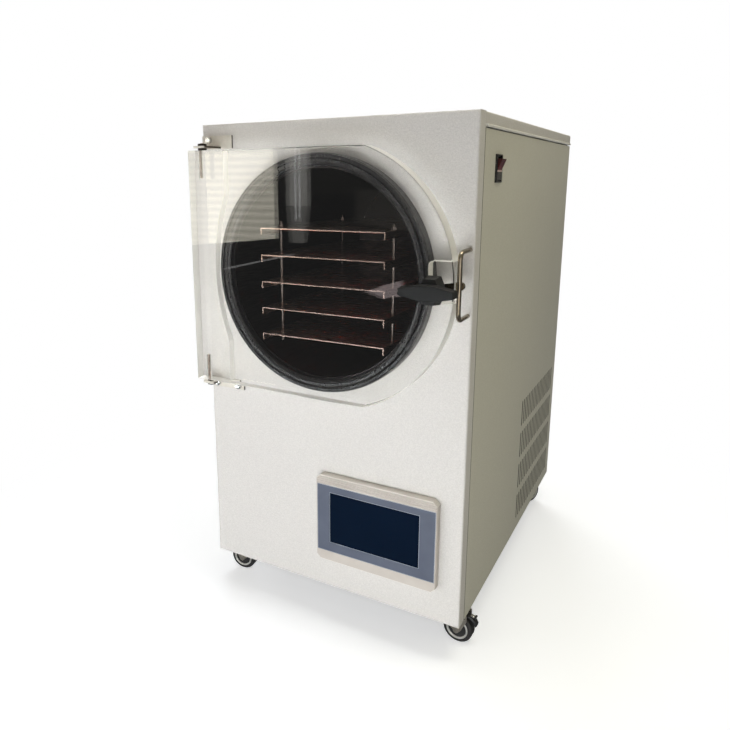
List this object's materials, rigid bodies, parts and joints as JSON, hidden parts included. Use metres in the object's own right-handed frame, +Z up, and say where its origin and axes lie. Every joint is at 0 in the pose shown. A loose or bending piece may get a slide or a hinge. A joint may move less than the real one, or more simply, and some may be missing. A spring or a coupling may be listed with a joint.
{
  "type": "freeze dryer",
  "caption": "Floor-standing laboratory freeze dryer with a round vacuum chamber, clear hinged door with latch, shelf rack, touch panel, side louvres and braked casters.",
  "frame": {"origin": "on the floor, at the middle of the whole machine's box with the door shut", "axes": "+X to the right seen from the front, the door faces -Y, +Z up"},
  "size_m": [0.488, 0.7562, 0.81],
  "materials": {
    "cabinet_paint": "warm off-white fine-textured powder coat",
    "zinc_steel": "zinc-plated pressed steel",
    "stainless": "brushed stainless steel",
    "shelf_steel": "fine-brushed stainless shelf sheet",
    "dark_steel": "dark oxidised steel",
    "bright_zinc": "zinc-plated fasteners",
    "clear_acrylic": "polished clear acrylic",
    "gasket_rubber": "black silicone rubber",
    "knob_plastic": "black moulded plastic",
    "heater_silicone": "red-brown silicone heater mat",
    "foam": "closed-cell insulation foam",
    "panel_cream": "cream moulded plastic",
    "panel_blue": "slate-blue printed film",
    "screen_glass": "dark display glass",
    "switch_black": "black moulded plastic",
    "switch_red": "dark red translucent plastic",
    "compressor_black": "black enamel",
    "fin_aluminium": "aluminium fin pack",
    "fan_plastic": "black glass-filled plastic",
    "valve_brass": "plain brass",
    "lever_red": "red dipped steel lever",
    "caster_rubber": "black caster wheel",
    "pedal_plastic": "black moulded plastic"
  },
  "bodies": {
    "cabinet": {"base_pan": "zinc_steel", "front_panel": "cabinet_paint", "left_side_panel": "cabinet_paint", "right_side_panel": "cabinet_paint", "top_cover": "cabinet_paint", "rear_panel": "cabinet_paint", "corner_posts": "zinc_steel", "chamber_deck": "zinc_steel", "chamber_saddles": "zinc_steel", "chamber_shell": "stainless", "chamber_insulation": "foam", "door_gasket": "gasket_rubber", "hinge_bracket_top": "cabinet_paint", "hinge_bracket_bottom": "cabinet_paint", "hinge_pins": "bright_zinc", "hinge_nuts": "bright_zinc", "hinge_screws": "bright_zinc", "keeper_handle": "dark_steel", "keeper_screws": "bright_zinc", "heater_mats": "heater_silicone", "rack_rods": "stainless", "rack_nuts": "bright_zinc", "touch_panel_frame": "panel_cream", "touch_panel_overlay": "panel_blue", "touch_screen": "screen_glass", "touch_panel_housing": "panel_cream", "switch_housing": "switch_black", "compressor": "compressor_black", "compressor_mounts": "gasket_rubber", "condenser_core": "fin_aluminium", "fan_frame": "fan_plastic", "control_box": "zinc_steel", "power_inlet": "switch_black", "vacuum_port": "stainless", "drain_pipe": "stainless", "drain_valve": "valve_brass", "caster_plates": "zinc_steel", "shelf_1": "shelf_steel", "shelf_2": "shelf_steel", "shelf_3": "shelf_steel", "shelf_4": "shelf_steel", "shelf_5": "shelf_steel"},
    "door": {"door": "clear_acrylic"},
    "latch": {"latch_spindle": "dark_steel", "latch_knob": "knob_plastic"},
    "rocker": {"switch_rocker": "switch_red"},
    "fan": {"fan_impeller": "fan_plastic"},
    "drain_handle": {"drain_lever": "lever_red"},
    "swivel_front_left": {"caster_fork_front_left": "zinc_steel"},
    "wheel_front_left": {"caster_wheel_front_left": "caster_rubber"},
    "brake_front_left": {"brake_pedal_front_left": "pedal_plastic"},
    "swivel_front_right": {"caster_fork_front_right": "zinc_steel"},
    "wheel_front_right": {"caster_wheel_front_right": "caster_rubber"},
    "brake_front_right": {"brake_pedal_front_right": "pedal_plastic"},
    "swivel_rear_left": {"caster_fork_rear_left": "zinc_steel"},
    "wheel_rear_left": {"caster_wheel_rear_left": "caster_rubber"},
    "swivel_rear_right": {"caster_fork_rear_right": "zinc_steel"},
    "wheel_rear_right": {"caster_wheel_rear_right": "caster_rubber"}
  },
  "joints": [
    {"name": "door_swing", "type": "hinge", "parent": "cabinet", "child": "door", "pos_m": [-0.20135, -0.33035, 0.5845], "axis": [0, 0, -1], "range_deg": [0, 120]},
    {"name": "latch_turn", "type": "hinge", "parent": "door", "child": "latch", "pos_m": [0.18915, -0.34285, 0.581], "axis": [0, -1, 0], "range_deg": [0, 60]},
    {"name": "rocker_tilt", "type": "hinge", "parent": "cabinet", "child": "rocker", "pos_m": [0.22565, -0.20585, 0.7375], "axis": [0, -1, 0], "range_deg": [0, 25]},
    {"name": "fan_spin", "type": "hinge", "parent": "cabinet", "child": "fan", "pos_m": [0.13915, 0.16965, 0.193], "axis": [1, 0, 0], "continuous": true},
    {"name": "drain_lever_turn", "type": "hinge", "parent": "cabinet", "child": "drain_handle", "pos_m": [0.00015, 0.36115, 0.395], "axis": [0, 0, 1], "range_deg": [0, 90]},
    {"name": "swivel_front_left", "type": "hinge", "parent": "cabinet", "child": "swivel_front_left", "pos_m": [-0.18935, -0.23985, 0.05], "axis": [0, 0, 1], "continuous": true},
    {"name": "wheel_spin_front_left", "type": "hinge", "parent": "swivel_front_left", "child": "wheel_front_left", "pos_m": [-0.21019, -0.24241, 0.024], "axis": [0.1219, -0.9925, 0], "continuous": true},
    {"name": "brake_front_left", "type": "hinge", "parent": "swivel_front_left", "child": "brake_front_left", "pos_m": [-0.2221, -0.24387, 0.0475], "axis": [0.1219, -0.9925, 0], "range_deg": [-14, 0]},
    {"name": "swivel_front_right", "type": "hinge", "parent": "cabinet", "child": "swivel_front_right", "pos_m": [0.18965, -0.23985, 0.05], "axis": [0, 0, 1], "continuous": true},
    {"name": "wheel_spin_front_right", "type": "hinge", "parent": "swivel_front_right", "child": "wheel_front_right", "pos_m": [0.21062, -0.24095, 0.024], "axis": [0.0523, 0.9986, 0], "continuous": true},
    {"name": "brake_front_right", "type": "hinge", "parent": "swivel_front_right", "child": "brake_front_right", "pos_m": [0.2226, -0.24158, 0.0475], "axis": [0.0523, 0.9986, 0], "range_deg": [-14, 0]},
    {"name": "swivel_rear_left", "type": "hinge", "parent": "cabinet", "child": "swivel_rear_left", "pos_m": [-0.18935, 0.27415, 0.05], "axis": [0, 0, 1], "continuous": true},
    {"name": "wheel_spin_rear_left", "type": "hinge", "parent": "swivel_rear_left", "child": "wheel_rear_left", "pos_m": [-0.19921, 0.29269, 0.024], "axis": [-0.8829, -0.4695, 0], "continuous": true},
    {"name": "swivel_rear_right", "type": "hinge", "parent": "cabinet", "child": "swivel_rear_right", "pos_m": [0.18965, 0.27415, 0.05], "axis": [0, 0, 1], "continuous": true},
    {"name": "wheel_spin_rear_right", "type": "hinge", "parent": "swivel_rear_right", "child": "wheel_rear_right", "pos_m": [0.19885, 0.29302, 0.024], "axis": [-0.8988, 0.4384, 0], "continuous": true}
  ]
}
